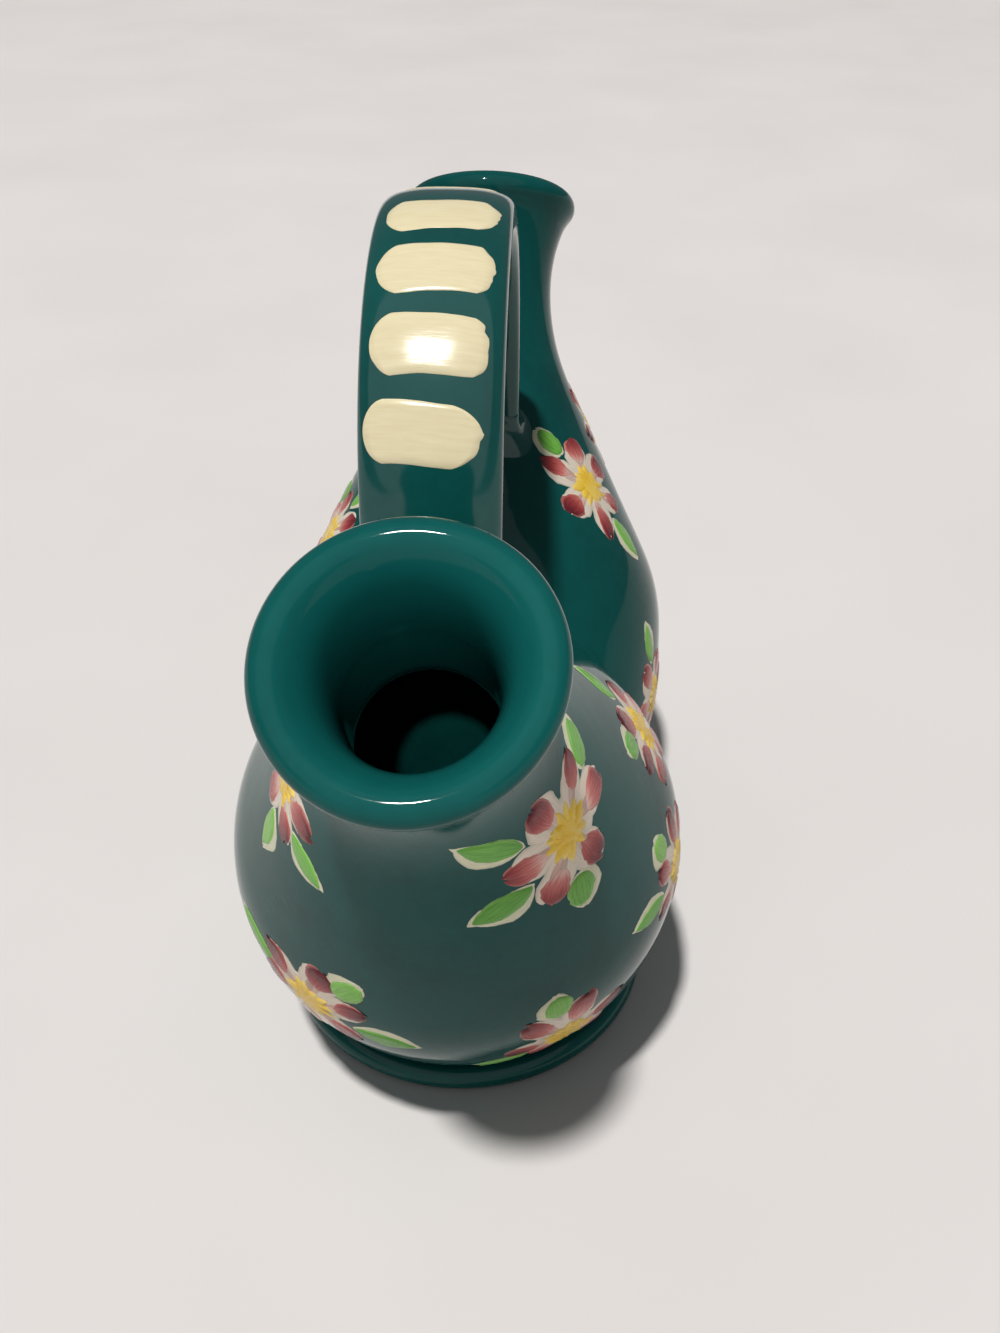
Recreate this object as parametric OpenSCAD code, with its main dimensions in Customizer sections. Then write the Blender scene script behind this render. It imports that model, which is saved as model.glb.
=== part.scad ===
// Twin oil and vinegar cruet of glazed earthenware: two leaning round-bellied bottles joined at
// the belly, each on its own turned foot, with one strap handle arched between the two necks.
// Millimetres, +Z up. The origin is on the table, under the middle of the joint.
// The pair lies along X: the front bottle leans towards +X, the rear bottle towards -X.

/* [Bottles] */
// Radius of each round belly
belly_r = 38; // [35:0.5:41]
// From the middle of the pair to each belly centre
half_spacing = 26.6; // [24:0.2:29]
// Height of the belly centres above the table
belly_z = 33.6; // [31:0.2:36]
// Lean of each bottle from upright, in degrees
lean = 34.4; // [31:0.2:38]
// Length of the straight band round the belly
band = 9.5; // [7:0.5:12]
// Half angle of the shoulder cone, in degrees
shoulder = 26; // [25:0.5:27.5]
// Wall thickness of the bottles
wall = 3.5; // [2.5:0.1:4]

/* [Neck and mouth] */
// Outside radius of the neck where it is narrowest
neck_r = 13; // [12:0.25:14]
// From the belly centre to the narrowest place, along the bottle
neck_t = 81; // [78:0.5:84]
// From the belly centre to the middle of the lip, along the bottle
mouth_t = 96.9; // [93:0.1:101]
// Outside radius of the lip
rim_r = 17.6; // [16.5:0.1:19]
// Radius of the rounded lip bead
lip_r = 2.5; // [2.2:0.1:2.8]

/* [Feet] */
// Radius of each foot
foot_r = 34.2; // [32:0.2:36]
// How far each foot's centre lies inside its belly's centre
foot_inset = 5.6; // [3:0.2:7]
// Height of the rounded foot flange
foot_h = 5; // [4:0.25:6]
// Height where the belly meets the waist of the foot
waist_z = 9.5; // [8.5:0.25:11]
// How far the waist is cut in from the flange
waist_cut = 3.7; // [2.5:0.1:5]
// Depth of the hollow under the foot
hollow_h = 3; // [2:0.25:4]
// Width of the ring that stands on the table
ring_w = 7; // [5:0.5:9]
// How fast the belly turns under above the waist, width over height
undercut = 1.4; // [1.2:0.05:1.8]
// Thickness of the floor inside each belly
floor_t = 4; // [3:0.25:5]

/* [Joint] */
// Thickness of the wall between the two bellies
party_t = 3.2; // [2.4:0.1:4]
// Radius of the hollow curve of the slip smoothed into the joint
seam_curve = 6; // [4.5:0.25:8]

/* [Handle] */
// Outside radius of the arched strap
arch_r = 38; // [36:0.5:40]
// Height of the arch's centre above the table
arch_z = 101; // [98:0.5:104]
// Width of the strap
strap_w = 20.2; // [18:0.2:23]
// Thickness of the strap
strap_t = 7; // [6:0.25:8]
// Radius of the strap's edges
strap_edge = 2.6; // [2:0.1:2.8]
// Radius of the strap's gently domed outer face
strap_dome = 42; // [36:1:60]
// Sideways set of the hand-fixed strap
strap_set = -2.3; // [-3:0.1:3]
// Thickness of the slip pad at each root
pad_t = 2.2; // [1.6:0.1:3]
// How far the slip pad spreads round the strap
pad_w = 3.6; // [2.5:0.1:5]

/* [Painted dashes] */
// Dashes on each half of the strap
dashes = 4; // [2:1:4]
// Angle between dashes along the arch, in degrees
dash_step = 18.3; // [17.5:0.1:19]
// Bare place over the crest before the first rear dash, in steps between dashes
dash_skip = 0.75; // [0:0.05:0.8]
// Length of a dash across the strap
dash_w = 16.4; // [14:0.2:17]
// Height of a dash along the strap
dash_h = 9; // [7:0.2:10]

/* [Painted flowers] */
// How far the painted slip stands up from the glaze
relief = 0.6; // [0.4:0.05:0.9]
// Petals round each flower
petals = 6; // [5:1:6]
// Length of a petal
petal_l = 7.4; // [6:0.1:7.6]
// Width of a petal
petal_w = 5; // [4:0.1:5.2]
// Radius of a flower's heart
heart_r = 3; // [2.4:0.1:3.1]
// Length of a long leaf
leaf_l = 9.6; // [8:0.2:9.8]
// Width of a long leaf
leaf_w = 5; // [4:0.1:5.2]
// Radius of a round leaf
leaf_r = 2.9; // [2.2:0.1:3]

/* [Hidden] */
$fn = 48;
foot_x = half_spacing - foot_inset;
waist_r = foot_r - waist_cut;
shoulder_r = belly_r * cos(shoulder);
shoulder_t = band + belly_r * sin(shoulder);
// Hollow curve of the neck: tangent to the shoulder cone and upright at the narrowest place
neck_arc = ((neck_t - shoulder_t) * tan(shoulder) - (shoulder_r - neck_r)) / (1 / cos(shoulder) - 1);
neck_arc_t = neck_t - neck_arc * sin(shoulder);
// Hollow curve of the flared mouth, struck just above the narrowest place and ending inside the lip
flare_t = neck_t + 1;
flare_r = neck_r - 0.02;
flare_rise = rim_r - 0.15 * lip_r - flare_r;
flare_arc = (pow(mouth_t - flare_t, 2) + pow(flare_rise, 2)) / (2 * flare_rise);
// How far neighbouring curves of the profile cross, so each meets the next at a clear edge
ease = 0.1;
lap = 9;
joint_r = sqrt(belly_r * belly_r - half_spacing * half_spacing);
// Curve of the slip in the joint, pressed a little below the touching circle so its edges are clear
seam_press = 0.35;
seam_z = sqrt(pow(belly_r + seam_curve, 2) - half_spacing * half_spacing) - seam_press;
seam_half = half_spacing * seam_curve / (belly_r + seam_curve) + seam_press;
seam_steps = 6;
edge_steps = 6;
limb_x = arch_r - strap_t / 2;
limb_foot_z = belly_z + (limb_x - half_spacing) / tan(lean);
far = 4 * belly_r;
sit = 4.5;
// Flowers on each bottle: height along the bottle over the belly radius, angle round it from the
// outer side, turn, size, and the gaps between petals that hold a long leaf and a round one,
// with the rear bottle's own round leaves after them where they differ
blooms = [
  [1.447, 65, 10, 1.08, [3, 4], [1, 5]],
  [0.711, 116, 50, 0.92, [1], [2]],
  [0.47, 82, 30, 0.9, [3], [2]],
  [1.368, -86, -8, 0.95, [0, 1], []],
  [0.553, -36, 0, 1.05, [1, 4], [2]],
  [0.38, 31, 30, 1, [4], [2]],
  [0.974, -131, 7, 1, [0], [2], [3]],
  [-0.105, -104, 0, 0.92, [3], [0]]
];
petal_gap = 0.5;
leaf_start = heart_r + 0.72 * petal_l;

// Radius of the bottle's outside at a height along its axis
function side_r(t) =
  t < 0 ? sqrt(belly_r * belly_r - t * t) :
  t < band ? belly_r :
  t < shoulder_t ? sqrt(belly_r * belly_r - (t - band) * (t - band)) :
  t < neck_arc_t ? shoulder_r - (t - shoulder_t) * tan(shoulder) :
  neck_r + neck_arc - sqrt(neck_arc * neck_arc - (neck_t - t) * (neck_t - t));

// Tilt of the outside's normal above the radial direction
function side_tilt(t) =
  t < 0 ? asin(t / belly_r) :
  t < band ? 0 :
  t < shoulder_t ? asin((t - band) / belly_r) :
  t < neck_arc_t ? shoulder :
  asin((neck_t - t) / neck_arc);

// Half profile of a bottle moved inwards by a thickness, carried past the mouth by an extra length
module profile(inwards, extra) {
  r = belly_r - inwards;
  arc = neck_arc + inwards;
  low = [(r - ease) * cos(shoulder), band + (r - ease) * sin(shoulder)];
  high = [neck_r + neck_arc - (arc - ease) * cos(shoulder), neck_t - (arc - ease) * sin(shoulder)];
  top = high + (high - low) * lap / norm(high - low);
  intersection() {
    circle(r);
    translate([0, -far]) square([far, far]);
  }
  square([r, band]);
  translate([0, band]) intersection() {
    circle(r);
    square([far, far]);
  }
  polygon([[0, low[1]], low, top, [0, top[1]]]);
  difference() {
    translate([0, high[1] - 1]) square([neck_r + neck_arc, neck_t + lap - high[1] + 1]);
    translate([neck_r + neck_arc, neck_t]) circle(arc);
  }
  difference() {
    translate([0, flare_t]) square([flare_r + flare_arc, mouth_t + extra - flare_t]);
    translate([flare_r + flare_arc, flare_t]) circle(flare_arc + inwards);
  }
}

module lip_bead() {
  translate([rim_r - lip_r, mouth_t]) circle(lip_r);
}

// Puts a shape drawn round a bottle's own axis in place: side 1 is the front bottle, -1 the rear
module leaning(side) {
  rotate([0, 0, side > 0 ? 0 : 180])
    translate([half_spacing, 0, belly_z])
      rotate([0, lean, 0])
        children();
}

// Bottle without its hollow, cut under to the waist of its foot
module bottle_mass(side) {
  intersection() {
    leaning(side) rotate_extrude() {
      profile(0, 0);
      lip_bead();
    }
    translate([side * foot_x, 0, waist_z])
      cylinder(r1 = waist_r, r2 = waist_r + undercut * far, h = far);
  }
}

module bottle_hollow(side) {
  intersection() {
    leaning(side) rotate_extrude() difference() {
      profile(wall, lip_r + 1);
      lip_bead();
    }
    translate([-far, -far, waist_z + floor_t]) cube([2 * far, 2 * far, far]);
  }
}

module bottle(side) {
  intersection() {
    difference() {
      bottle_mass(side);
      bottle_hollow(side);
    }
    translate([side > 0 ? party_t / 2 : -far - party_t / 2, -far, 0]) cube([far, 2 * far, far]);
  }
}

// Point on the rounded edge of the foot flange
function foot_edge(a) = [foot_r - foot_h / 2 + cos(a) * foot_h / 2, foot_h / 2 + sin(a) * foot_h / 2];

module foot(side) {
  intersection() {
    translate([side * foot_x, 0, 0]) rotate_extrude() difference() {
      union() {
        square([waist_r, waist_z]);
        polygon(concat([[0, foot_h], [0, 0]], [for (k = [0 : edge_steps]) foot_edge(180 * k / edge_steps - 90)]));
      }
      square([foot_r - ring_w, hollow_h]);
    }
    translate([side > 0 ? 0 : -far, -far, 0]) cube([far, 2 * far, far]);
  }
}

module front_bottle() {
  color([0.02, 0.20, 0.17]) bottle(1);
}

module rear_bottle() {
  color([0.02, 0.20, 0.17]) bottle(-1);
}

module front_foot() {
  color([0.03, 0.22, 0.19]) foot(1);
}

module rear_foot() {
  color([0.03, 0.22, 0.19]) foot(-1);
}

// Point on the hollow face of the slip in the joint, across its width from -1 to 1
function seam_point(u) = [seam_z - sqrt(pow(seam_curve, 2) - pow(u * seam_half, 2)), u * seam_half];

// Slip squeezed out of the joint and smoothed into the groove between the bellies
module seam_ring() {
  difference() {
    intersection() {
      translate([0, 0, belly_z]) rotate([0, 90, 0]) rotate_extrude()
        polygon(concat(
          [[joint_r - 2, seam_half], [joint_r - 2, -seam_half]],
          [for (k = [0 : seam_steps]) seam_point(2 * k / seam_steps - 1)]
        ));
      translate([-far, -far, waist_z]) cube([2 * far, 2 * far, far]);
    }
    bottle_mass(1);
    bottle_mass(-1);
  }
}

// Wall where the two bellies run into each other, with its ring of slip
module joint_wall() {
  color([0.03, 0.23, 0.20]) union() {
    for (side = [-1, 1]) intersection() {
      bottle_mass(side);
      translate([side > 0 ? 0 : -party_t / 2, -far, 0]) cube([party_t / 2, 2 * far, far]);
    }
    seam_ring();
  }
}

// Cross section of the strap, grown all round, with its outer face at the arch radius
module strap_section(grow) {
  edge = strap_edge + grow;
  w = strap_w + 2 * grow;
  t = strap_t + 2 * grow;
  intersection() {
    translate([limb_x, 0]) union() {
      square([t - 2 * edge, w], center = true);
      square([t, w - 2 * edge], center = true);
      for (i = [-1, 1], j = [-1, 1])
        translate([i * (t / 2 - edge), j * (w / 2 - edge)]) circle(edge);
    }
    translate([arch_r - strap_dome, 0]) circle(strap_dome + grow);
  }
}

module arch_place() {
  translate([0, strap_set, arch_z]) rotate([90, 0, 0]) children();
}

module strap_form() {
  arch_place() rotate_extrude(angle = 180) strap_section(0);
  for (side = [-1, 1])
    translate([0, strap_set, limb_foot_z]) mirror([side > 0 ? 0 : 1, 0, 0])
      linear_extrude(height = arch_z - limb_foot_z) strap_section(0);
}

module strap_handle() {
  color([0.02, 0.21, 0.18]) difference() {
    strap_form();
    bottle_mass(1);
    bottle_mass(-1);
  }
}

// Pad of slip pressed over the neck where the strap is stuck on
module handle_root(side) {
  difference() {
    intersection() {
      leaning(side) rotate_extrude() difference() {
        profile(-pad_t, 0);
        profile(0, 0);
      }
      translate([0, strap_set, limb_foot_z]) mirror([side > 0 ? 0 : 1, 0, 0])
        linear_extrude(height = far) strap_section(pad_w);
    }
    strap_form();
  }
}

module front_handle_root() {
  color([0.02, 0.20, 0.17]) handle_root(1);
}

module rear_handle_root() {
  color([0.02, 0.20, 0.17]) handle_root(-1);
}

module dash_outline() {
  square([dash_h, dash_w - dash_h], center = true);
  for (i = [-1, 1]) translate([0, i * (dash_w - dash_h) / 2]) circle(dash_h / 2);
}

// Cream brush dashes laid across the outer face of the strap
module handle_dashes() {
  color([0.86, 0.76, 0.56]) arch_place() intersection() {
    rotate_extrude(angle = 180) difference() {
      translate([relief, 0]) strap_section(0);
      strap_section(0);
    }
    for (side = [-1, 1], k = [0 : dashes - 1])
      rotate([0, 0, 90 + side * (k + 0.5 + (side > 0 ? dash_skip : 0)) * dash_step])
        translate([limb_x, 0, 0]) rotate([0, 90, 0])
        linear_extrude(height = strap_t) rotate([0, 0, 90]) dash_outline();
  }
}

// Lens outline with two pointed ends, from the origin along X
module lens(length, width) {
  bow = (length * length + width * width) / (4 * width);
  translate([length / 2, 0]) intersection() {
    translate([0, bow - width / 2]) circle(bow);
    translate([0, width / 2 - bow]) circle(bow);
  }
}

// Skin of raised slip over a bottle, cut to the outlines given
module painted(side) {
  leaning(side) intersection() {
    rotate_extrude() difference() {
      profile(-relief, 0);
      profile(0, 0);
    }
    children();
  }
}

// Stands an outline on the bottle at a flower's place
module at_bloom(b) {
  t = b[0] * belly_r;
  rotate([0, 0, b[1]]) translate([side_r(t), 0, t]) rotate([0, 90 - side_tilt(t), 0])
    translate([0, 0, -sit]) linear_extrude(height = 2 * sit) rotate([0, 0, b[2]]) scale(b[3]) children();
}

module petal_set(side) {
  painted(side) for (b = blooms) at_bloom(b)
    for (k = [0 : petals - 1]) rotate([0, 0, k * 360 / petals])
      translate([heart_r + petal_gap, 0]) lens(petal_l, petal_w);
}

module heart_set(side) {
  painted(side) for (b = blooms) at_bloom(b) circle(heart_r);
}

module leaf_set(side) {
  painted(side) for (b = blooms) at_bloom(b) {
    for (k = b[4]) rotate([0, 0, (k + 0.5) * 360 / petals])
      translate([leaf_start, 0]) lens(leaf_l, leaf_w);
    for (k = side < 0 && len(b) > 6 ? b[6] : b[5]) rotate([0, 0, (k + 0.5) * 360 / petals])
      translate([leaf_start + leaf_r, 0]) circle(leaf_r);
  }
}

module front_petals() {
  color([0.72, 0.42, 0.40]) petal_set(1);
}

module front_flower_hearts() {
  color([0.80, 0.62, 0.08]) heart_set(1);
}

module front_leaves() {
  color([0.22, 0.45, 0.14]) leaf_set(1);
}

module rear_petals() {
  color([0.72, 0.42, 0.40]) petal_set(-1);
}

module rear_flower_hearts() {
  color([0.80, 0.62, 0.08]) heart_set(-1);
}

module rear_leaves() {
  color([0.22, 0.45, 0.14]) leaf_set(-1);
}

front_bottle();
rear_bottle();
front_foot();
rear_foot();
joint_wall();
strap_handle();
front_handle_root();
rear_handle_root();
handle_dashes();
front_petals();
front_flower_hearts();
front_leaves();
rear_petals();
rear_flower_hearts();
rear_leaves();
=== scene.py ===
import math
import random
import bpy
import bmesh
import numpy as np
from mathutils import Matrix, Vector


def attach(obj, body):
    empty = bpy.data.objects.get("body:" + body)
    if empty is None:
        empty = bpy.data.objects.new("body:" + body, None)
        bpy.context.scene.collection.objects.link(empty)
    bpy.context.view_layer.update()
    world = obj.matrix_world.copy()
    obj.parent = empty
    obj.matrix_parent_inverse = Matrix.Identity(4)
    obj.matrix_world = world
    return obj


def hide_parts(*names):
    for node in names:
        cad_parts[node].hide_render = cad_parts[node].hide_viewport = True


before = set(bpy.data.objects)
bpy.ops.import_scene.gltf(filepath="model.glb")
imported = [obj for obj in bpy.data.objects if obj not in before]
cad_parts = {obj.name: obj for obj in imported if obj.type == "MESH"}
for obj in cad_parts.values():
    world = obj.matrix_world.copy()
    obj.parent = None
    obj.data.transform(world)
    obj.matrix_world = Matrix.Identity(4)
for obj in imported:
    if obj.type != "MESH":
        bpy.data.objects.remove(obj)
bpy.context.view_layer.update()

# The two bottles. Each is thrown in earthenware with a round belly and a narrow trumpet mouth,
# pared flat on one side and luted to its twin so that the pair lean apart.
# The joined ware is dipped in one deep green glaze, which runs thin and pale over the lips; inside
# each mouth the trumpet and the top of the throat are painted paler still, as painted light falling
# down the mouth.
MM = 0.001
belly_r, half_spacing, belly_z = 38.0, 26.6, 33.6
lean, shoulder = math.radians(34.4), math.radians(26.0)
band, wall, party_half = 9.5, 3.5, 1.6
neck_r, neck_t, mouth_t, rim_r, lip_r = 13.0, 81.0, 96.9, 17.6, 2.5
foot_x, waist_r, waist_z, waist_ease, undercut, floor_z = 21.0, 30.5, 9.5, 1.6, 1.4, 13.5
deepest_t, belly_row_t, flare_t, bead_t, throat_t, well_t = -34.0, 16.0, 84.0, 93.6, 83.8, 83.6
throat_r, trumpet_rise, trumpet_l, trumpet_t = 9.5, 4.8, 14.6, 96.8
bore_t = [58, 60, 62, 64, 66, 68, 70, well_t]
bore_r = [99, 14.1, 12.8, 11.5, 10.4, 9.8, 9.62, throat_r]
ease_half, ease_width = 90, 26.0
round_count, lip_count, lip_smoothing, thin_and_lit_lead = 192, 120, 40, 86
# The pale ramp from the lip bead into the throat: thin glaze over the bead, painted light down the
# trumpet and throat.
thin_and_lit_rows, thin_and_lit_shares = [0, 25, 50, 90, 105], [0, 0.25, 0.7, 1, 0]

shoulder_r = belly_r * math.cos(shoulder)
shoulder_t = band + belly_r * math.sin(shoulder)
neck_drop = (neck_t - shoulder_t) * math.tan(shoulder) - (shoulder_r - neck_r)
neck_arc = neck_drop / (1 / math.cos(shoulder) - 1)
neck_arc_t = neck_t - neck_arc * math.sin(shoulder)
flare_rise = rim_r - 0.15 * lip_r - neck_r
flare_arc = ((mouth_t - neck_t) ** 2 + flare_rise ** 2) / (2 * flare_rise)


def thrown_side(t):
    return np.select(
        [t < 0, t < band, t < shoulder_t, t < neck_arc_t, t < neck_t],
        [np.sqrt(np.maximum(belly_r ** 2 - t ** 2, 0)),
         np.full_like(t, belly_r),
         np.sqrt(np.maximum(belly_r ** 2 - (t - band) ** 2, 0)),
         shoulder_r - (t - shoulder_t) * math.tan(shoulder),
         neck_r + neck_arc - np.sqrt(np.maximum(neck_arc ** 2 - (neck_t - t) ** 2, 0))],
        neck_r + flare_arc - np.sqrt(np.maximum(flare_arc ** 2 - (t - neck_t) ** 2, 0)))


# The wheel leaves no corner between one curve and the next, so the side is eased a little
side_t = np.arange(-37.9, mouth_t + 6, 0.1)
side_plain = thrown_side(side_t)
spread = np.exp(-0.5 * (np.arange(-ease_half, ease_half + 1) / ease_width) ** 2)
side_padded = np.pad(side_plain, ease_half, mode="edge")
side_eased = np.convolve(side_padded, spread / spread.sum(), mode="valid")
keep = np.clip((side_t + 24) / 10, 0, 1) * np.clip((mouth_t + 3 - side_t) / 6, 0, 1)
side_radius = side_plain + (side_eased - side_plain) * keep
side_slope = np.gradient(side_radius, side_t)
side_length = np.concatenate([[0], np.cumsum(np.hypot(np.diff(side_t), np.diff(side_radius)))])


def hand_wobble(t, phi):
    return (0.11 * np.sin(2 * phi + 0.9 + 0.020 * t)
            + 0.07 * np.sin(3 * phi - 1.7 - 0.031 * t)
            + 0.05 * np.sin(0.16 * t + phi + 1.0))


def stand(radius, t, phi, side):
    x, y = radius * np.cos(phi), radius * np.sin(phi)
    px = half_spacing + x * math.cos(lean) + t * math.sin(lean)
    pz = belly_z - x * math.sin(lean) + t * math.cos(lean)
    return np.stack([side * px, side * y, pz + 0 * px], axis=-1)


def bottle_skin(t, phi, side, lift=0.0):
    t, phi = np.broadcast_arrays(np.asarray(t, float), np.asarray(phi, float))
    slope = np.interp(t, side_t, side_slope)
    across = 1 / np.sqrt(1 + slope ** 2)
    radius = np.interp(t, side_t, side_radius) + hand_wobble(t, phi) + lift * across
    return stand(radius, t - lift * slope * across, phi, side)


def first_below(test, high, low, count):
    high, low = np.full(count, high, float), np.full(count, low, float)
    steps = np.linspace(0, 1, 400)
    for k in range(count):
        values = high[k] + (low[k] - high[k]) * steps
        hit = np.argmax(test(values, k))
        high[k], low[k] = values[max(hit - 1, 0)], values[hit]
    for _ in range(30):
        middle = (high + low) / 2
        inside = np.array([bool(test(middle[k:k + 1], k)[0]) for k in range(count)])
        low, high = np.where(inside, middle, low), np.where(inside, high, middle)
    return (high + low) / 2


def bezier_rows(a, b, c, count):
    return [a * (1 - u) ** 2 + 2 * b * u * (1 - u) + c * u ** 2 for u in np.linspace(0, 1, count)]


def loft(bm, rows, start=None, end=None):
    rings = [[bm.verts.new(p * MM) for p in row] for row in rows]
    for low, high in zip(rings, rings[1:]):
        n = len(low)
        for k in range(n):
            j = (k + 1) % n
            bm.faces.new((low[k], low[j], high[j], high[k]))
    for ring, point in ((rings[0], start), (rings[-1], end)):
        if point is not None:
            tip = bm.verts.new(np.asarray(point, float) * MM)
            for k in range(len(ring)):
                bm.faces.new((ring[k], ring[(k + 1) % len(ring)], tip))
    return rings


def pare(bm, place, facing):
    bmesh.ops.bisect_plane(bm, geom=bm.verts[:] + bm.edges[:] + bm.faces[:], dist=1e-7,
                           plane_co=place, plane_no=facing, clear_inner=True)
    edges = [e for e in bm.edges if e.is_boundary]
    bmesh.ops.triangle_fill(bm, use_beauty=True, use_dissolve=False, edges=edges)


def finish_piece(bm, name, material, slot, *nodes, sharp=50):
    bmesh.ops.remove_doubles(bm, verts=bm.verts[:], dist=2e-6)
    bmesh.ops.dissolve_degenerate(bm, edges=bm.edges[:], dist=1e-7)
    bmesh.ops.recalc_face_normals(bm, faces=bm.faces[:])
    mesh = bpy.data.meshes.new(name)
    bm.to_mesh(mesh)
    bm.free()
    for face in mesh.polygons:
        face.use_smooth = True
    mesh.set_sharp_from_angle(angle=math.radians(sharp))
    mesh.materials.append(material)
    piece = bpy.data.objects.new(name, mesh)
    bpy.context.scene.collection.objects.link(piece)
    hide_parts(*nodes)
    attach(piece, "root")


def half_turn(bm):
    turned = Matrix.Rotation(math.pi, 3, "Z")
    bmesh.ops.rotate(bm, verts=bm.verts[:], cent=(0, 0, 0), matrix=turned)


def new_material(name):
    material = bpy.data.materials.new(name)
    material.use_nodes = True
    return material, material.node_tree, material.node_tree.nodes["Principled BSDF"]


def set_input(tree, node, key, value):
    if isinstance(value, bpy.types.NodeSocket):
        tree.links.new(value, node.inputs[key])
    else:
        node.inputs[key].default_value = value


def add_node(tree, kind, inputs=None, **settings):
    node = tree.nodes.new(kind)
    for key, value in settings.items():
        setattr(node, key, value)
    for key, value in (inputs or {}).items():
        set_input(tree, node, key, value)
    return node


def colour_steps(tree, factor, steps):
    ramp = add_node(tree, "ShaderNodeValToRGB", {"Fac": factor})
    marks = ramp.color_ramp.elements
    while len(marks) < len(steps):
        marks.new(0.5)
    for mark, (place, colour) in zip(marks, steps):
        mark.position = place
        mark.color = (*colour, 1)
    return ramp.outputs["Color"]


def mixed(tree, share, a, b):
    node = add_node(tree, "ShaderNodeMix", {0: share}, data_type="RGBA")
    for key, value in ((6, a), (7, b)):
        plain = not isinstance(value, bpy.types.NodeSocket)
        set_input(tree, node, key, (*value, 1) if plain else value)
    return node.outputs[2]


def cloud(tree, place, scale, detail, roughness):
    node = add_node(tree, "ShaderNodeTexNoise", {"Vector": place, "Scale": scale,
                                                 "Detail": detail, "Roughness": roughness})
    return node.outputs["Fac"]


def rescaled(tree, value, low, high, start=0.0, end=1.0):
    node = add_node(tree, "ShaderNodeMapRange", {"Value": value, "From Min": start, "From Max": end,
                                                 "To Min": low, "To Max": high})
    return node.outputs["Result"]


def raised(tree, height, strength, distance):
    node = add_node(tree, "ShaderNodeBump", {"Strength": strength, "Distance": distance,
                                             "Height": height})
    return node.outputs["Normal"]


def green_glaze(name, deep, full, thin_and_lit, matt=0.0, mirror=0.11):
    material, tree, shader = new_material(name)
    place = add_node(tree, "ShaderNodeTexCoord").outputs["Object"]
    pooling = cloud(tree, place, 42.0, 3.0, 0.55)
    mottle = cloud(tree, place, 620.0, 2.0, 0.5)
    depth = add_node(tree, "ShaderNodeMath", {0: mottle, 1: 0.22, 2: pooling},
                     operation="MULTIPLY_ADD").outputs[0]
    light = tuple(1.15 * c for c in full)
    body = colour_steps(tree, depth, [(0.36, deep), (0.62, full), (0.86, light)])
    # Paler where the glaze runs thin over lips and edges, and painted light inside the mouths.
    thin_and_lit_mark = add_node(tree, "ShaderNodeAttribute", attribute_name="thin_glaze_and_painted_light").outputs["Fac"]
    thin_and_lit_share = add_node(tree, "ShaderNodeMath", {0: thin_and_lit_mark, 1: 0.75}, operation="MULTIPLY")
    tree.links.new(mixed(tree, thin_and_lit_share.outputs[0], body, thin_and_lit), shader.inputs["Base Color"])
    smear = cloud(tree, place, 75.0, 4.0, 0.6)
    gloss = rescaled(tree, smear, 0.03 + matt, 0.07 + matt, 0.3, 0.75)
    tree.links.new(gloss, shader.inputs["Roughness"])
    ripple = cloud(tree, place, 150.0, 2.0, 0.45)
    bubbles = add_node(tree, "ShaderNodeTexVoronoi", {"Vector": place, "Scale": 120.0})
    pinholes = rescaled(tree, bubbles.outputs["Distance"], -0.6, 0.0, 0.02, 0.05)
    skin = add_node(tree, "ShaderNodeMath", {0: ripple, 1: pinholes}, operation="ADD").outputs[0]
    tree.links.new(raised(tree, skin, 0.08, 0.0006), shader.inputs["Normal"])
    shader.inputs["IOR"].default_value = 1.52
    shader.inputs["Specular IOR Level"].default_value = mirror
    return material


bottle_glaze = green_glaze("bottle_glaze", (0.0022, 0.048, 0.044), (0.0034, 0.066, 0.060),
                           (0.0060, 0.125, 0.115))


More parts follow.
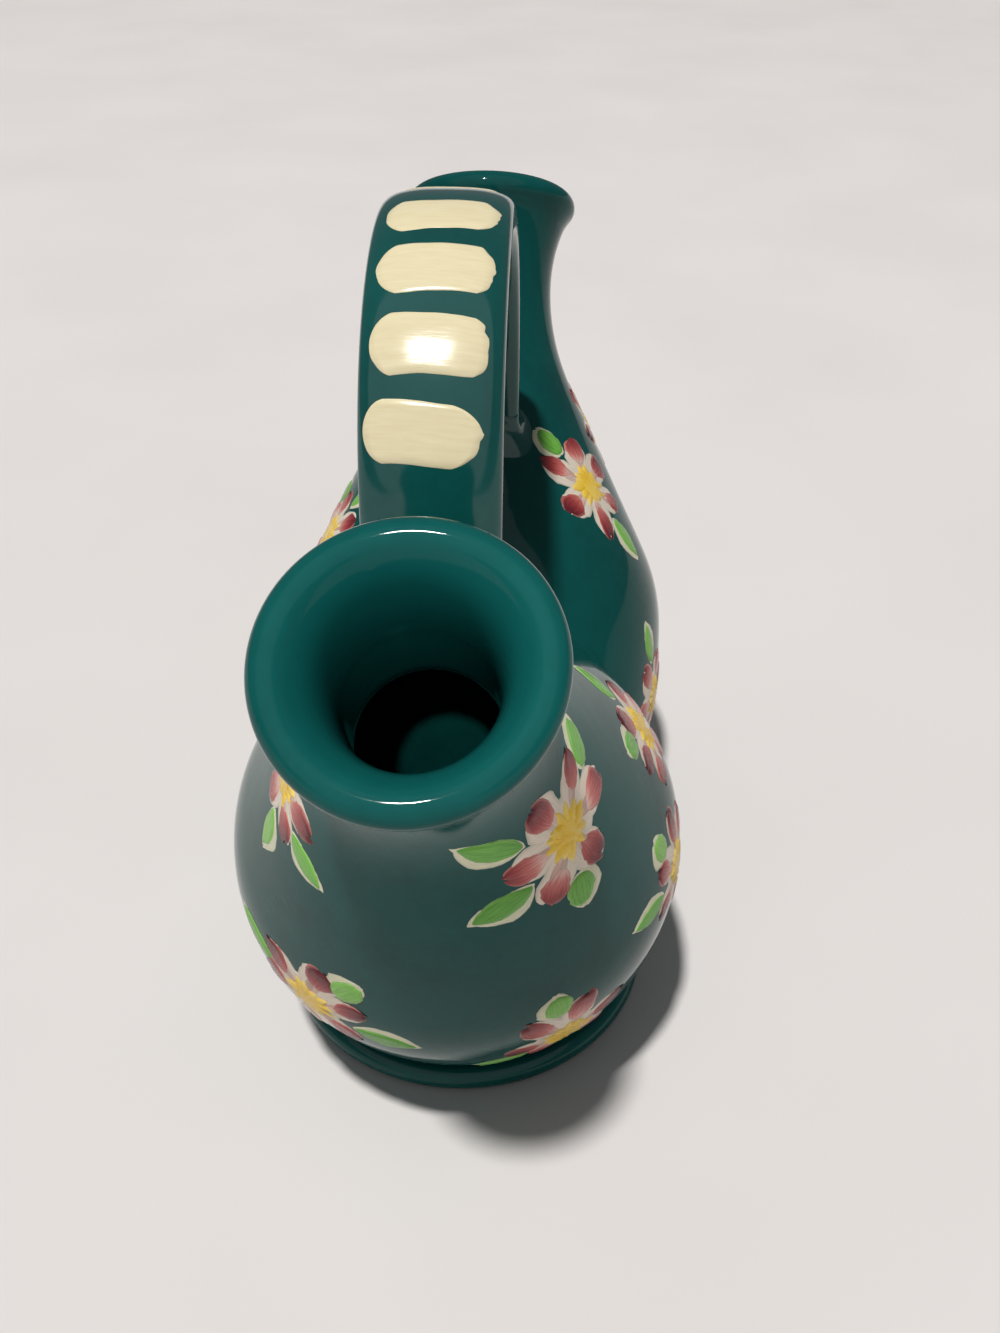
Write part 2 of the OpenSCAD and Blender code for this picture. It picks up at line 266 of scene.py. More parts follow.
def make_bottle(side, name, node):
    phi = np.linspace(0, 2 * np.pi, round_count, endpoint=False)

    def past_foot(t, k):
        p = bottle_skin(t, phi[k], 1)
        out = np.hypot(p[:, 0] - foot_x, p[:, 1]) - waist_r - undercut * (p[:, 2] - waist_z)
        return (out >= 0) | (p[:, 2] <= waist_z)

    edge_t = first_below(past_foot, belly_row_t, side_t[0] + 0.1, round_count)
    edge = bottle_skin(edge_t, phi, 1)
    turn = np.arctan2(edge[:, 1], edge[:, 0] - foot_x)
    waist = np.stack([foot_x + waist_r * np.cos(turn), waist_r * np.sin(turn),
                      np.full(round_count, waist_z)], -1)
    waist = np.where(edge[:, 2:] <= waist_z + 1e-6, edge, waist)
    reach = np.linalg.norm(edge - waist, axis=1, keepdims=True)
    soft = np.minimum(waist_ease, 0.6 * reach)
    below = edge + (waist - edge) * soft / np.maximum(reach, 1e-9)
    above_t = edge_t + soft[:, 0]
    above = bottle_skin(above_t, phi, 1)
    rows = [waist + (below - waist) * u for u in (0, 0.35, 0.7)]
    rows += bezier_rows(below, edge, above, 9)
    rows += [bottle_skin(above_t + (belly_row_t - above_t) * u, phi, 1)
             for u in np.linspace(0, 1, 40)[1:]]
    rows += [bottle_skin(t, phi, 1) for t in np.linspace(belly_row_t, flare_t, 76)[1:]]
    # The lip is rolled over on the wheel: flare outside, round bead, flare inside
    row_step = 0.4
    outer = [(np.interp(t, side_t, side_radius), t)
             for t in np.arange(flare_t + row_step, bead_t, row_step)]
    bead = [(rim_r - lip_r + lip_r * math.cos(a), mouth_t + lip_r * math.sin(a))
            for a in np.radians(np.arange(-52, 130, 8))]
    inside = [(throat_r + trumpet_rise * (1 - math.sqrt(1 - ((t - flare_t) / trumpet_l) ** 2)), t)
              for t in np.arange(trumpet_t, throat_t, -row_step)]
    line = np.array(outer + bead + inside)
    far = np.concatenate([[0], np.cumsum(np.hypot(*np.diff(line, axis=0).T))])
    even = np.linspace(0, far[-1], lip_count)
    line = np.stack([np.interp(even, far, line[:, c]) for c in (0, 1)], -1)
    # The bead keeps its curve and the trumpet is smoothed most; the wobble dies out down the throat
    trumpet_row, crest_row = lip_count // 2, lip_count // 2 - 2
    ease_in = np.clip((np.arange(lip_count) - crest_row) / 14, 0.12, 1)[1:-1, None]
    for _ in range(lip_smoothing):
        line[1:-1] += ease_in * (0.25 * line[:-2] - 0.5 * line[1:-1] + 0.25 * line[2:])
    fade = np.interp(np.arange(lip_count), [trumpet_row, lip_count - 1], [1, 0])
    rows += [stand(r + f * hand_wobble(t, phi), t, phi, 1) for (r, t), f in zip(line, fade)]
    thin_and_lit_start = len(rows) - thin_and_lit_lead
    # Below the trumpet the bore runs straight for a finger's breadth and opens into the belly
    normal = 1 / np.sqrt(1 + side_slope ** 2)
    inner_r, inner_t = side_radius - wall * normal, side_t + wall * side_slope * normal
    well = np.arange(well_t, belly_row_t, -0.9)
    bore = np.interp(well, bore_t, bore_r)
    rows += [stand(min(np.interp(t, inner_t, inner_r), r), t, phi, 1) for t, r in zip(well, bore)]

    def on_floor(t, k):
        return stand(np.interp(t, inner_t, inner_r), t, phi[k], 1)[:, 2] <= floor_z

    floor_t = first_below(on_floor, belly_row_t, deepest_t, round_count)
    for u in np.linspace(0, 1, 34)[1:]:
        t = belly_row_t + (floor_t - belly_row_t) * u
        rows.append(stand(np.interp(t, inner_t, inner_r), t, phi, 1))
    rim_of_floor = rows[-1]
    middle = rim_of_floor.mean(axis=0)
    rows += [middle + (rim_of_floor - middle) * u for u in (0.9, 0.6, 0.3)]
    bm = bmesh.new()
    thin_and_lit = bm.verts.layers.float.new("thin_glaze_and_painted_light")
    rings = loft(bm, rows, end=middle)
    bm.faces.new(rings[0])
    # Painted light: the colour turns pale from the bead down the trumpet and is palest a little way
    # down the throat, standing in for light that falls down the mouth; over the bead itself the glaze
    # runs thin.
    for k, ring in enumerate(rings[thin_and_lit_start:]):
        share = np.interp(k, thin_and_lit_rows, thin_and_lit_shares)
        for vert in ring:
            vert[thin_and_lit] = share
    bmesh.ops.remove_doubles(bm, verts=bm.verts[:], dist=2e-6)
    pare(bm, (party_half * MM, 0, 0), (1, 0, 0))
    if side < 0:
        half_turn(bm)
    finish_piece(bm, name, bottle_glaze, "bottle_glaze", node)


make_bottle(1, "front_glazed_bottle", "front_bottle")
make_bottle(-1, "rear_glazed_bottle", "rear_bottle")

# The feet. Each bottle stands on a turned disc with a rounded flange and a dark groove above it;
# the two discs run into each other under the joint.
# They are glazed with the bottles, and the ring that stood on the kiln shelf is wiped to bare clay.
foot_r, foot_h, ring_w, hollow_h = 34.2, 5.0, 7.0, 3.0
flange_r, groove_r, groove_z = foot_h / 2, 0.9, 7.5
foot_glaze = green_glaze("foot_glaze", (0.0030, 0.060, 0.054), (0.0045, 0.085, 0.076),
                         (0.008, 0.115, 0.103), matt=0.05, mirror=0.16)
tree = foot_glaze.node_tree
shader = tree.nodes["Principled BSDF"]
place = add_node(tree, "ShaderNodeTexCoord").outputs["Object"]
grit = add_node(tree, "ShaderNodeTexNoise", {"Vector": place, "Scale": 900.0, "Detail": 3.0})
clay = colour_steps(tree, grit.outputs["Fac"], [(0.3, (0.30, 0.12, 0.06)), (0.7, (0.44, 0.20, 0.11))])
drawn = add_node(tree, "ShaderNodeAttribute", attribute_name="bare_clay").outputs["Fac"]
glazed = shader.inputs["Base Color"].links[0].from_socket
tree.links.new(mixed(tree, drawn, glazed, clay), shader.inputs["Base Color"])


def make_foot(side, name, node):
    inner = foot_r - ring_w
    line = [(0.4 * inner, hollow_h), (0.8 * inner, hollow_h), (inner - 1.2, hollow_h - 0.1),
            (inner - 0.3, hollow_h - 0.6), (inner, hollow_h - 1.4), (inner + 0.1, 0.6),
            (inner + 0.6, 0.1), (inner + 1.4, 0.0), (foot_r - 4.2, 0.0)]
    line += [(foot_r - flange_r + flange_r * math.cos(a), flange_r + flange_r * math.sin(a))
             for a in np.radians(np.arange(-90, 91, 9))]
    line += [(waist_r + groove_r - groove_r * math.sin(a), foot_h + groove_r - groove_r * math.cos(a))
             for a in np.radians(np.arange(0, 91, 15))]
    line += [(waist_r, groove_z), (waist_r, waist_z), (0.5 * waist_r, waist_z)]
    phi = np.linspace(0, 2 * np.pi, round_count, endpoint=False)
    bm = bmesh.new()
    thin_and_lit = bm.verts.layers.float.new("thin_glaze_and_painted_light")
    bare = bm.verts.layers.float.new("bare_clay")
    rows = [np.stack([foot_x + r * np.cos(phi), r * np.sin(phi), np.full(round_count, z)], -1)
            for r, z in line]
    rings = loft(bm, rows, start=(foot_x, 0, hollow_h), end=(foot_x, 0, waist_z))
    # The colour is paler along the top of the flange, and the standing ring is wiped bare
    for ring, (r, z) in zip(rings, line):
        for vert in ring:
            vert[thin_and_lit] = max(0.0, 1 - abs(z - 4.2) / 1.6) if r > foot_r - 2.4 else 0.0
            vert[bare] = 1.0 if z < 0.25 and r < foot_r - 1.0 else 0.0
    pare(bm, (0, 0, 0), (1, 0, 0))
    if side < 0:
        half_turn(bm)
    finish_piece(bm, name, foot_glaze, "foot_glaze", node)


make_foot(1, "front_turned_foot", "front_foot")
make_foot(-1, "rear_turned_foot", "rear_foot")

# The joint. Where the two bellies are pressed together they share one wall, and the slip that
# squeezes out is smoothed with a wet finger into a hollow ring round the seam.
# The glaze gathers in that hollow and comes out darker.
seam_curve, seam_sink, seam_count, across_count = 6.0, 2.2, 160, 46
joint_glaze = green_glaze("joint_glaze", (0.0018, 0.040, 0.036), (0.0030, 0.058, 0.051),
                          (0.005, 0.078, 0.068))


def inside_bottle(x, y, z, lift=0.0):
    dx, dz = x - half_spacing, z - belly_z
    t = dx * math.sin(lean) + dz * math.cos(lean)
    away = np.hypot(dx * math.cos(lean) - dz * math.sin(lean), y)
    return away < np.interp(t, side_t, side_radius) + lift


def make_joint():
    across = np.linspace(0, 9, across_count)
    rows_across = np.linspace(-1, 1, 17)
    rings = []
    for a in np.linspace(0, 2 * np.pi, seam_count, endpoint=False):
        low, high = np.full(across_count, 10.0), np.full(across_count, 60.0)
        for _ in range(34):
            middle = (low + high) / 2
            within = inside_bottle(across, middle * math.sin(a), belly_z + middle * math.cos(a))
            low, high = np.where(within, middle, low), np.where(within, high, middle)
        reach = (low + high) / 2
        centre_low, centre_high = reach[0], reach[0] + 20
        for _ in range(30):
            centre = (centre_low + centre_high) / 2
            if np.hypot(across, centre - reach).min() < seam_curve:
                centre_low = centre
            else:
                centre_high = centre
        touch = across[np.argmin(np.hypot(across, centre - reach))] + 0.5
        x = np.clip(touch, 0.5, seam_curve - 0.6) * rows_across
        hollow = centre - np.sqrt(seam_curve ** 2 - x ** 2)
        x = np.concatenate([[-party_half, -party_half], x, [party_half, party_half]])
        inward = [0.4 * reach[0], reach[0] - seam_sink]
        hollow = np.concatenate([inward, hollow, inward[::-1]])
        rings.append(np.stack([x, hollow * math.sin(a), belly_z + hollow * math.cos(a)], -1))
    rows = [np.array([ring[k] for ring in rings]) for k in range(len(rings[0]))]
    bm = bmesh.new()
    loft(bm, rows, start=(-party_half, 0, belly_z), end=(party_half, 0, belly_z))
    pare(bm, (0, 0, waist_z * MM), (0, 0, 1))
    finish_piece(bm, "joint_slip", joint_glaze, "joint_glaze", "joint_wall")


make_joint()

# The strap handle. A flat pulled strap of clay with soft edges and a gently domed back is arched
# from neck to neck by hand, a little to one side, and stuck down with slip at both roots.
arch_r, arch_z, strap_w, strap_t, strap_set = 38.0, 101.0, 20.2, 7.0, -2.3
section_count, back_power, belly_power, root_sink = 80, 2.8, 4.5, 1.4
handle_glaze = green_glaze("handle_glaze", (0.0025, 0.052, 0.047), (0.0038, 0.070, 0.063),
                           (0.008, 0.095, 0.084), matt=0.06, mirror=0.40)


def strap_face(y, power):
    return 0.5 * strap_t * np.maximum(1 - np.abs(2 * y / strap_w) ** power, 0) ** (1 / power)


turn = np.linspace(0, 2 * np.pi, section_count, endpoint=False)
strap_y = 0.5 * strap_w * np.sign(np.cos(turn)) * np.abs(np.cos(turn)) ** 0.72
strap_y[np.abs(np.cos(turn)) < 1e-9] = 0.0
strap_s = np.where(np.sin(turn) >= 0, strap_face(strap_y, back_power),
                   -strap_face(strap_y, belly_power))


def strap_pull(angle):
    return 0.16 * np.sin(3.1 * angle + 0.6) + 0.08 * np.sin(7.3 * angle + 2.0)


def strap_point(angle, y, s):
    radius = arch_r - strap_t / 2 + s + strap_pull(angle)
    return np.stack([radius * np.sin(angle), y + strap_set + 0 * radius,
                     arch_z + radius * np.cos(angle)], -1)


def strap_ring(angle):
    return strap_point(np.full(section_count, angle), strap_y, strap_s)


def neck_height(x, y, lift=0.0):
    x, y = np.broadcast_arrays(np.asarray(x, float), np.asarray(y, float))
    high, low = np.full(x.shape, arch_z), belly_z + (x - half_spacing) / math.tan(lean)
    for _ in range(40):
        middle = (high + low) / 2
        within = inside_bottle(x, y, middle, lift)
        low, high = np.where(within, middle, low), np.where(within, high, middle)
    return (high + low) / 2


def limb_rows(angle, shares):
    limb = strap_ring(angle)
    root_z = neck_height(np.abs(limb[:, 0]), limb[:, 1], -root_sink)
    return [np.column_stack([limb[:, :2], root_z + (arch_z - root_z) * u]) for u in shares]


def make_strap():
    rows = limb_rows(np.pi / 2, np.linspace(0, 1, 20)[:-1])
    rows += [strap_ring(a) for a in np.radians(np.linspace(90, -90, 109))]
    rows += limb_rows(-np.pi / 2, np.linspace(1, 0, 20)[1:])
    bm = bmesh.new()
    thin_and_lit = bm.verts.layers.float.new("thin_glaze_and_painted_light")
    rings = loft(bm, rows)
    for ring in rings:
        for k, vert in enumerate(ring):
            vert[thin_and_lit] = max(0.0, (abs(2 * strap_y[k] / strap_w) - 0.86) / 0.14) * 0.8
    bm.faces.new(rings[0])
    bm.faces.new(rings[-1])
    finish_piece(bm, "pulled_strap", handle_glaze, "handle_glaze", "strap_handle")


make_strap()

# The handle roots. Slip is worked round each end of the strap with a fingertip,
# so that the strap runs into the neck in a smooth hollow on every side.
pad_reach, pad_rise, pad_tuck, pad_lip = 3.8, 5.2, 0.9, 0.3


def make_root(side, name, node):
    limb = strap_ring(np.pi / 2)
    along = np.roll(limb, -1, axis=0) - np.roll(limb, 1, axis=0)
    out = np.stack([along[:, 1], -along[:, 0]], -1)
    out /= np.linalg.norm(out, axis=1, keepdims=True)
    centre = limb[:, :2].mean(axis=0)
    out *= np.sign(np.sum(out * (limb[:, :2] - centre), axis=1, keepdims=True))
    meet = limb.copy()
    meet[:, 2] = neck_height(limb[:, 0], limb[:, 1])
    top = meet + np.array([0, 0, pad_rise])
    spread_xy = meet[:, :2] + out * pad_reach
    foot = np.column_stack([spread_xy, neck_height(spread_xy[:, 0], spread_xy[:, 1])])
    tuck = np.column_stack([out, np.zeros(section_count)])
    lip = top + np.array([0, 0, pad_lip])
    rows = [lip - tuck * pad_tuck, lip - tuck * 0.12]
    rows += bezier_rows(top, meet, foot, 15)
    sunk_xy = meet[:, :2] + out * (pad_reach + 0.5)
    rows += [np.column_stack([sunk_xy, neck_height(sunk_xy[:, 0], sunk_xy[:, 1], -0.25)]),
             np.column_stack([spread_xy, neck_height(spread_xy[:, 0], spread_xy[:, 1], -1.2)]),
             np.column_stack([meet[:, :2] - out * pad_tuck, meet[:, 2] - 1.0])]
    rows.append(rows[0])
    bm = bmesh.new()
    loft(bm, rows)
    if side < 0:
        bmesh.ops.scale(bm, verts=bm.verts[:], vec=(-1, 1, 1))
    finish_piece(bm, name, handle_glaze, "handle_glaze", node, sharp=80)


make_root(1, "front_root_slip", "front_handle_root")
make_root(-1, "rear_root_slip", "rear_handle_root")

# The cream dashes. Eight loaded-brush strokes of pale slip cross the back of the strap under the
# clear gloss: each starts round where the brush lands and ends ragged where it lifts.
dash_step, dash_w, dash_h, relief = 18.3, 16.4, 9.0, 0.3
dash_count, rear_dashes, rear_shift = 8, 4, 0.75
landing = [0.3, -0.2, 0.1, -0.3, 0.2, 0.0, -0.2, -1.0]
lifting = [2.6, 3.4, 2.4, 4.4, 3.8, 2.6, 2.9, 5.2]
stroke_marks = ("stroke_along", "stroke_across", "stroke_tone", "undercoat")
chance = random.Random(23)


def paint_attributes(bm):
    return [bm.verts.layers.float.new(mark) for mark in stroke_marks]


def lay_stroke(bm, layers, top, under, along, across, tone, undercoat=0.0):
    m, n = top.shape[:2]
    grids = []
    for points in (top, under):
        grid = [[bm.verts.new(points[i, j] * MM) for j in range(n)] for i in range(m)]
        for i in range(m):
            for j in range(n):
                for layer, value in zip(layers, (along[i, j], across[i, j], tone, undercoat)):
                    grid[i][j][layer] = value
        grids.append(grid)
    up, low = grids
    for i in range(m - 1):
        for j in range(n - 1):
            bm.faces.new((up[i][j], up[i + 1][j], up[i + 1][j + 1], up[i][j + 1]))
            bm.faces.new((low[i][j], low[i][j + 1], low[i + 1][j + 1], low[i + 1][j]))
    rim = [(0, j) for j in range(n)] + [(i, n - 1) for i in range(1, m)]
    rim += [(m - 1, j) for j in range(n - 2, -1, -1)] + [(i, 0) for i in range(m - 2, 0, -1)]
    for (a, b), (c, d) in zip(rim, rim[1:] + rim[:1]):
        bm.faces.new((up[a][b], up[c][d], low[c][d], low[a][b]))


def waves(values, seed, count=5, base=1.0):
    pick = random.Random(seed)
    total = 0
    for k in range(count):
        total = total + 0.72 ** k * np.sin(base * (k + 1) * values + pick.uniform(0, 6.28))
    return total / count


def bristle_streaks(tree, names, stretch, scale, roughness):
    marks = [add_node(tree, "ShaderNodeAttribute", attribute_name=name).outputs["Fac"]
             for name in names]
    place = add_node(tree, "ShaderNodeCombineXYZ", dict(zip("XYZ", marks))).outputs[0]
    long_way = add_node(tree, "ShaderNodeMapping", {"Vector": place, "Scale": stretch}).outputs[0]
    return marks, cloud(tree, long_way, scale, 4.0, roughness)


cream_slip, tree, shader = new_material("cream_slip")
streaks = bristle_streaks(tree, stroke_marks[:3], (1.6, 4.0, 40.0), 2.0, 0.6)[1]
cream = colour_steps(tree, streaks, [(0.25, (0.77, 0.66, 0.41)), (0.5, (0.81, 0.71, 0.45)),
                                     (0.75, (0.85, 0.75, 0.50))])
tree.links.new(cream, shader.inputs["Base Color"])
tree.links.new(rescaled(tree, streaks, 0.10, 0.24), shader.inputs["Roughness"])
tree.links.new(raised(tree, streaks, 0.05, 0.0004), shader.inputs["Normal"])
shader.inputs["IOR"].default_value = 1.5
shader.inputs["Specular IOR Level"].default_value = 0.25


def make_dashes():
    bm = bmesh.new()
    layers = paint_attributes(bm)
    for number in range(dash_count):
        place = number - (dash_count - 1) / 2 - (rear_shift if number < rear_dashes else 0)
        angle = math.radians(place * dash_step)
        v = np.sin(np.linspace(-1, 1, 29) * np.pi / 2)
        u = 0.5 - 0.5 * np.cos(np.linspace(0, 1, 41) * np.pi)
        vv, uu = np.meshgrid(v, u, indexing="ij")
        landed = -dash_w / 2 + 3.6 * (1 - np.sqrt(1 - 0.985 * vv ** 2))
        landed = landed + 0.25 * waves(vv, number, base=2.2)
        lifted = dash_w / 2 - lifting[number] * (1 - np.sqrt(1 - 0.97 * np.abs(vv) ** 2.5))
        lifted = lifted + 0.9 * waves(vv, number + 40, 6, 3.4)
        y = landed + (lifted - landed) * uu + landing[number]
        height = dash_h / 2 * (1 + 0.05 * waves(y, number + 80, base=0.35)) * (1 - 0.05 * uu)
        bend = 0.35 * np.sin(np.pi * uu + 0.6 * number)
        turn_to = angle + (vv * height + bend) / arch_r
        edge = np.minimum(np.minimum(uu, 1 - uu) * dash_w, (1 - np.abs(vv)) * dash_h / 2)
        ridge = 1 + 0.10 * waves(vv, number + 120, 6, 5.0)
        lift = -0.06 + relief * np.clip(edge / 0.9, 0, 1) ** 0.55 * ridge
        top = strap_point(turn_to, y, strap_face(y, back_power) + lift)
        under = strap_point(turn_to, y, strap_face(y, back_power) - 0.35)
        lay_stroke(bm, layers, top, under, uu, vv, chance.random())
    finish_piece(bm, "cream_brush_dashes", cream_slip, "cream_slip", "handle_dashes", sharp=75)


make_dashes()

# The painted flowers. On each bottle loose daisies are laid on in slip with a soft round brush:
# a pale undercoat, pink petals loaded with dark red at the tip, a streaky heart and green leaves.
# The strokes stand up a little under the gloss and keep the marks of the bristles.
petal_count, petal_l, petal_w, heart_r, tongue_count = 6, 7.4, 5.0, 3.0, 13
leaf_l, leaf_w, leaf_r, leaf_start = 9.6, 5.0, 2.9, 8.3
wash, leaf_load, tip_load, streak_load, heart_load, tongue_load = 0.14, 0.34, 0.30, 0.26, 0.40, 0.43

# A bloom is its place up the side, angle round the bottle, turn and size, then the petals that
# its long leaves and its round leaves lie beside, the round ones again where the rear differs.
blooms = [(1.447, 65, 10, 1.08, (3, 4), (1, 5)), (0.711, 116, 50, 0.92, (1,), (2,)),
          (0.47, 82, 30, 0.9, (3,), (2,)), (1.368, -86, -8, 0.95, (0, 1), ()),
          (0.553, -36, 0, 1.05, (1, 4), (2,)), (0.38, 31, 30, 1.0, (4,), (2,)),
          (0.974, -131, 7, 1.0, (0,), (2,), (3,)), (-0.105, -104, 0, 0.92, (3,), (0,))]


def bloom_skin(side, bloom, x, y, lift):
    t0 = bloom[0] * belly_r
    s = np.interp(t0, side_t, side_length) - x
    t = np.interp(s, side_length, side_t)
    phi = math.radians(bloom[1]) + y / np.interp(t, side_t, side_radius)
    return bottle_skin(t, phi, side, lift)


def brush_mark(bm, layers, side, bloom, heading, start, length, width, height, seed,
               fullness=1.0, blunt=0.72, curl=0.0, ragged=0.05, grid=(17, 11), undercoat=0.0,
               aside=0.0):
    pick = random.Random(seed)
    u = 0.5 - 0.5 * np.cos(np.linspace(0, 1, grid[0]) * np.pi)
    v = np.sin(np.linspace(-1, 1, grid[1]) * np.pi / 2)
    uu, vv = np.meshgrid(u, v, indexing="ij")
    half = width / 2 * np.sin(np.pi * np.clip(uu, 0.004, 0.996) ** fullness) ** blunt
    half = half * (1 + 0.14 * waves(uu * 6, seed, 4, 1.6) * np.sign(vv + 1e-6))
    along_line = start + length * (uu + ragged * waves(vv, seed + 7, 5, 2.6) * (2 * uu - 0.6))
    sideways = vv * half + curl * length * (uu - uu ** 2) * 2 + aside * np.sin(np.pi * uu)
    c, s = math.cos(heading), math.sin(heading)
    x, y = along_line * c - sideways * s, along_line * s + sideways * c
    edge = np.minimum((1 - np.abs(vv)) * half, np.minimum(uu, 1 - uu) * length)
    ridge = 1 + 0.30 * waves(vv, seed + 13, 5, 3.8)
    lift = -0.05 + height * np.clip(edge / 0.7, 0, 1) ** 0.6 * ridge
    top = bloom_skin(side, bloom, x, y, lift)
    under = bloom_skin(side, bloom, x, y, np.full_like(x, -0.3))
    lay_stroke(bm, layers, top, under, uu, vv, pick.random(), undercoat)


def sums(tree, *terms):
    total = 0.0
    for socket, factor in terms:
        total = add_node(tree, "ShaderNodeMath", {0: socket, 1: factor, 2: total},
                         operation="MULTIPLY_ADD").outputs[0]
    return total


def edge_share(tree, across, streaks, start, end):
    away = add_node(tree, "ShaderNodeMath", {0: across}, operation="ABSOLUTE").outputs[0]
    rough_edge = sums(tree, (away, 1.0), (streaks, 0.6))
    return rescaled(tree, rough_edge, 0.0, 1.0, start, end)


def slip_paint(name, loads, steps, edge, ground):
    material, tree, shader = new_material(name)
    marks, streaks = bristle_streaks(tree, stroke_marks, (1.0, 5.5, 60.0), 2.2, 0.62)
    along, across, tone, undercoat = marks
    load = sums(tree, (along, loads[0]), (streaks, loads[1]), (tone, loads[2]))
    stroke = colour_steps(tree, load, steps)
    stroke = mixed(tree, edge_share(tree, across, streaks, 1.05, 1.30), stroke, edge)
    pale = colour_steps(tree, streaks, [(0.3, tuple(0.8 * c for c in ground)), (0.65, ground)])
    dry = mixed(tree, edge_share(tree, across, streaks, 1.12, 1.36), pale, (0.36, 0.35, 0.28))
    tree.links.new(mixed(tree, undercoat, stroke, dry), shader.inputs["Base Color"])
    tree.links.new(rescaled(tree, streaks, 0.06, 0.18), shader.inputs["Roughness"])
    tree.links.new(raised(tree, streaks, 0.25, 0.0003), shader.inputs["Normal"])
    shader.inputs["IOR"].default_value = 1.5
    shader.inputs["Specular IOR Level"].default_value = 0.16
    return material


petal_slip = slip_paint("petal_slip", (0.62, 0.50, 0.30),
                        [(0.34, (0.70, 0.46, 0.39)), (0.50, (0.54, 0.15, 0.13)),
                         (0.72, (0.31, 0.046, 0.046)), (0.98, (0.115, 0.016, 0.022))],
                        (0.50, 0.20, 0.17), (0.76, 0.66, 0.54))
heart_slip = slip_paint("heart_slip", (0.30, 0.80, 0.10),
                        [(0.30, (0.62, 0.34, 0.015)), (0.52, (0.80, 0.50, 0.03)),
                         (0.72, (0.80, 0.58, 0.12)), (0.90, (0.78, 0.64, 0.36))],
                        (0.78, 0.56, 0.14), (0.76, 0.66, 0.54))
leaf_slip = slip_paint("leaf_slip", (0.0, 0.85, 0.35),
                       [(0.32, (0.066, 0.235, 0.030)), (0.56, (0.145, 0.41, 0.058)),
                        (0.82, (0.25, 0.53, 0.11))],
                       (0.25, 0.47, 0.13), (0.70, 0.68, 0.48))


def paint_flowers(side, word):
    meshes = [bmesh.new() for _ in range(3)]
    petals, hearts, leaves = [(bm, paint_attributes(bm), side) for bm in meshes]
    for number, bloom in enumerate(blooms):
        turn, size, seed = bloom[2], bloom[3], 1000 * number + (7 if side > 0 else 507)
        ground_r = (heart_r + 0.40 * petal_l) * size
        brush_mark(*petals, bloom, math.radians(turn + 50), -ground_r, 2 * ground_r, 1.9 * ground_r,
                   0.12, seed + 12, 1.0, 0.5, ragged=0.10, grid=(25, 17), undercoat=1.0)
        for k in range(petal_count):
            heading = math.radians(turn + 360 * k / petal_count + chance.uniform(-7, 7))
            length, width = petal_l * chance.uniform(0.94, 1.12), petal_w * chance.uniform(1.0, 1.22)
            curl = chance.uniform(-0.1, 0.1)
            brush_mark(*petals, bloom, heading, 0.6 * size, (length + heart_r - 0.9) * size,
                       (width + 1.2) * size, wash, seed + k, 1.45, 0.42, curl, 0.12, undercoat=1.0,
                       aside=chance.uniform(-0.5, 0.5) * size)
            tip = chance.uniform(0.12, 0.30)
            brush_mark(*petals, bloom, heading + chance.uniform(-0.07, 0.07),
                       (heart_r + tip * length) * size, (1.02 - tip) * length * size,
                       width * chance.uniform(0.84, 1.06) * size, tip_load, seed + 20 + k,
                       1.25, 0.42, curl, 0.16, aside=chance.uniform(-0.4, 0.4) * size)
            for streak in (-1, 1):
                brush_mark(*petals, bloom, heading + streak * chance.uniform(0.05, 0.17),
                           heart_r * size, length * chance.uniform(0.40, 0.70) * size,
                           width * chance.uniform(0.22, 0.40) * size, streak_load,
                           seed + 160 + 2 * k + streak, 1.0, 0.5, curl, 0.14, (11, 7),
                           undercoat=chance.uniform(0.45, 0.7))
        brush_mark(*hearts, bloom, math.radians(turn + 25), -(heart_r + 0.5) * size,
                   (2 * heart_r + 1.0) * size, 1.9 * heart_r * size, heart_load, seed + 40,
                   1.0, 0.55, ragged=0.10)
        for k in range(tongue_count):
            heading = math.radians(turn + 360 * k / tongue_count + chance.uniform(-10, 10))
            brush_mark(*hearts, bloom, heading, 0.8 * size, chance.uniform(2.9, 4.5) * size,
                       chance.uniform(1.6, 2.7) * size, tongue_load, seed + 50 + k, 0.8, 0.6,
                       ragged=0.12, grid=(11, 7))
        round_leaves = bloom[6] if side < 0 and len(bloom) > 6 else bloom[5]
        for k, long_leaf in [(k, True) for k in bloom[4]] + [(k, False) for k in round_leaves]:
            heading = math.radians(turn + 360 * (k + 0.5) / petal_count + chance.uniform(-3, 3))
            length, width = (leaf_l, leaf_w) if long_leaf else (2.1 * leaf_r, 2 * leaf_r)
            curl, blunt = (chance.uniform(-0.12, 0.12), 0.72) if long_leaf else (0.0, 0.5)
            brush_mark(*leaves, bloom, heading, (leaf_start - 0.4) * size, (length + 1.1) * size,
                       (width + 0.8) * size, wash, seed + 70 + k, 0.92, blunt, curl, 0.08,
                       undercoat=1.0, aside=chance.choice((-0.75, 0.75)) * size)
            brush_mark(*leaves, bloom, heading, leaf_start * size, length * size,
                       0.9 * width * size, leaf_load, seed + 80 + k, 0.92, blunt, curl)
    finish_piece(petals[0], word + "_painted_petals", petal_slip, "petal_slip",
                 word + "_petals", sharp=75)
    finish_piece(hearts[0], word + "_painted_hearts", heart_slip, "heart_slip",
                 word + "_flower_hearts", sharp=75)
    finish_piece(leaves[0], word + "_painted_leaves", leaf_slip, "leaf_slip",
                 word + "_leaves", sharp=75)


paint_flowers(1, "front")
paint_flowers(-1, "rear")

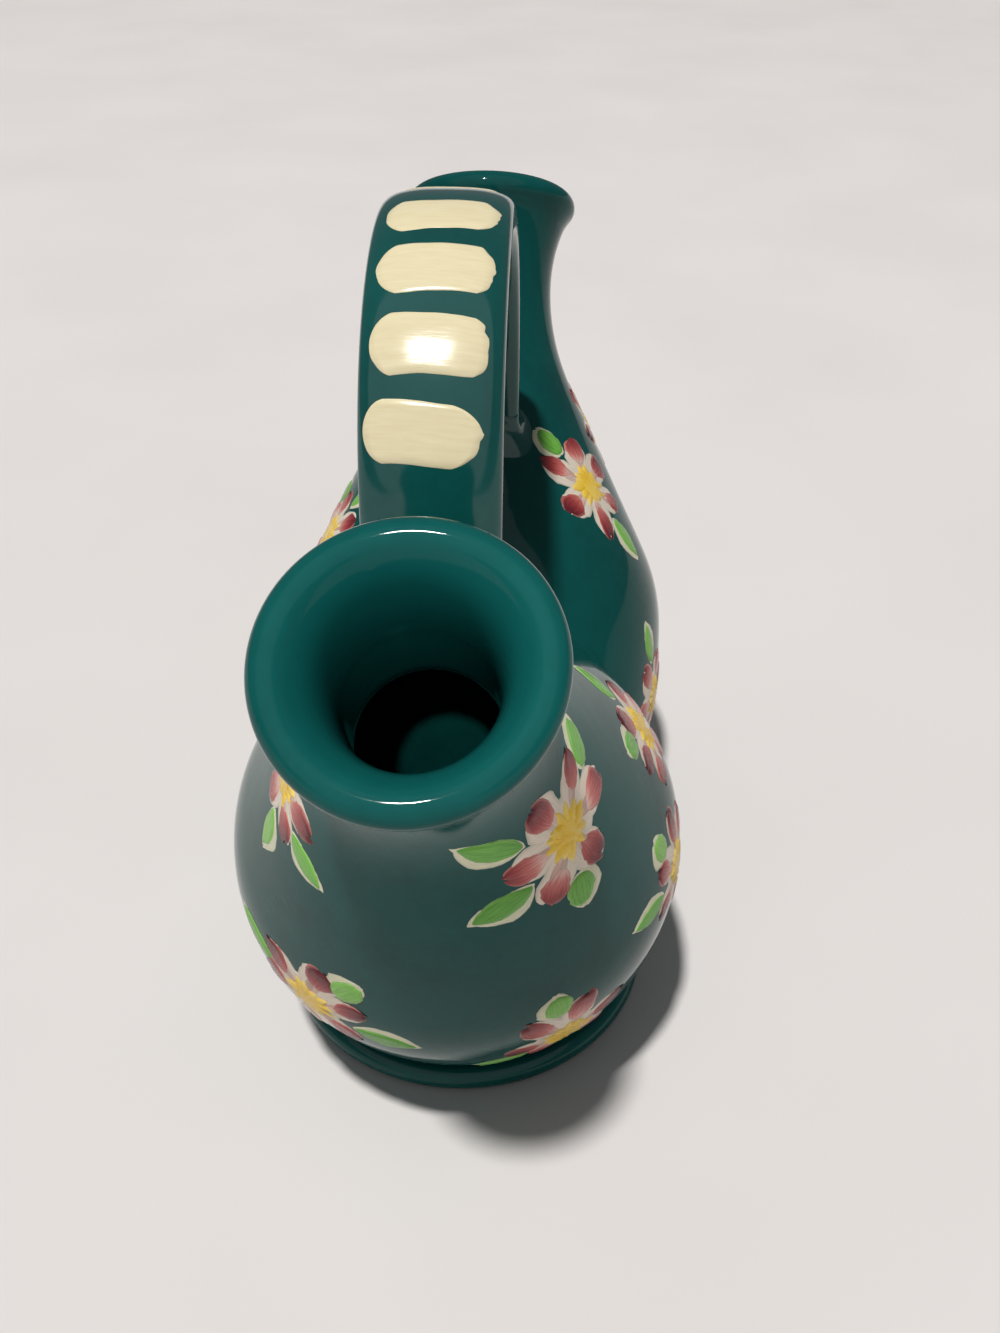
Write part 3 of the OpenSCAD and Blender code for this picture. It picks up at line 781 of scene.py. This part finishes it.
# The set. A plain pale floor in a grey surround, lit by one high lamp to the left of the camera.
# A small lamp and a broad panel of four discs that fades outwards show only in the gloss,
# and a narrow lamp reaches down the front mouth to the floor of the bottle.
floor_mesh = bpy.data.meshes.new("floor")
bm = bmesh.new()
bmesh.ops.create_grid(bm, x_segments=2, y_segments=2, size=4.0)
bm.to_mesh(floor_mesh)
bm.free()
floor = bpy.data.objects.new("floor", floor_mesh)
bpy.context.scene.collection.objects.link(floor)
pale_floor, tree, shader = new_material("pale_floor")
place = add_node(tree, "ShaderNodeTexCoord").outputs["Object"]
nap = add_node(tree, "ShaderNodeTexNoise", {"Vector": place, "Scale": 9.0, "Detail": 3.0})
pale = colour_steps(tree, nap.outputs["Fac"], [(0.3, (0.74, 0.70, 0.67)), (0.7, (0.78, 0.74, 0.71))])
tree.links.new(pale, shader.inputs["Base Color"])
shader.inputs["Roughness"].default_value = 0.9
shader.inputs["Specular IOR Level"].default_value = 0.1
floor_mesh.materials.append(pale_floor)


def soft_lamp(name, towards, distance, size, watts):
    lamp = bpy.data.lights.new(name, "AREA")
    lamp.shape = "DISK"
    lamp.size = size
    lamp.energy = watts
    holder = bpy.data.objects.new(name, lamp)
    direction = Vector(towards).normalized()
    holder.location = direction * distance + Vector((0, 0, 0.05))
    holder.rotation_euler = direction.to_track_quat("Z", "Y").to_euler()
    bpy.context.scene.collection.objects.link(holder)
    return holder


key_lamp = soft_lamp("key_lamp", (0.285, -0.115, 0.95), distance=10.0, size=0.60, watts=912.0)
key_lamp.visible_glossy = False
glint_lamp = soft_lamp("glint_lamp", (0.46, -0.10, 0.87), distance=1.5, size=0.11, watts=20.0)
glint_lamp.visible_diffuse = False
for number, width in enumerate((1.4, 2.2, 3.0, 3.8), 1):
    sheen_panel = soft_lamp("sheen_panel_%d" % number, (0.66, -0.05, 0.75), distance=1.6,
                            size=width, watts=1.45 * width ** 2)
    sheen_panel.visible_diffuse = False

snoot = bpy.data.lights.new("mouth_snoot", "SPOT")
snoot.energy = 44.0
snoot.spot_size = math.radians(2.4)
snoot.spot_blend = 0.6
snoot.shadow_soft_size = 0.02
mouth_snoot = bpy.data.objects.new("mouth_snoot", snoot)
direction = Vector((0.723, 0.046, 0.689)).normalized()
mouth_snoot.location = Vector((0.081, 0.0, 0.113)) + direction * 1.4
mouth_snoot.rotation_euler = direction.to_track_quat("Z", "Y").to_euler()
bpy.context.scene.collection.objects.link(mouth_snoot)
mouth_snoot.visible_glossy = False

world = bpy.data.worlds.new("studio")
world.use_nodes = True
bpy.context.scene.world = world
backdrop = world.node_tree.nodes["Background"]
backdrop.inputs["Color"].default_value = (0.93, 0.95, 1.0, 1)
backdrop.inputs["Strength"].default_value = 0.15

eye = bpy.data.cameras.new("view")
eye.sensor_width = 36.0
eye.lens = 33.76
eye.clip_start = 0.01
camera = bpy.data.objects.new("view", eye)
right = (-0.0483916883, 0.998828013, -0.000919448)
up = (-0.59441222, -0.02805856, 0.80367085)
behind = (0.80270316, 0.03943752, 0.59507338)
eye_place = (0.187599, 0.014943, 0.192826)
camera.matrix_world = Matrix((*zip(right, up, behind, eye_place), (0, 0, 0, 1)))
bpy.context.scene.collection.objects.link(camera)
bpy.context.scene.camera = camera
bpy.context.scene.view_settings.view_transform = "Standard"
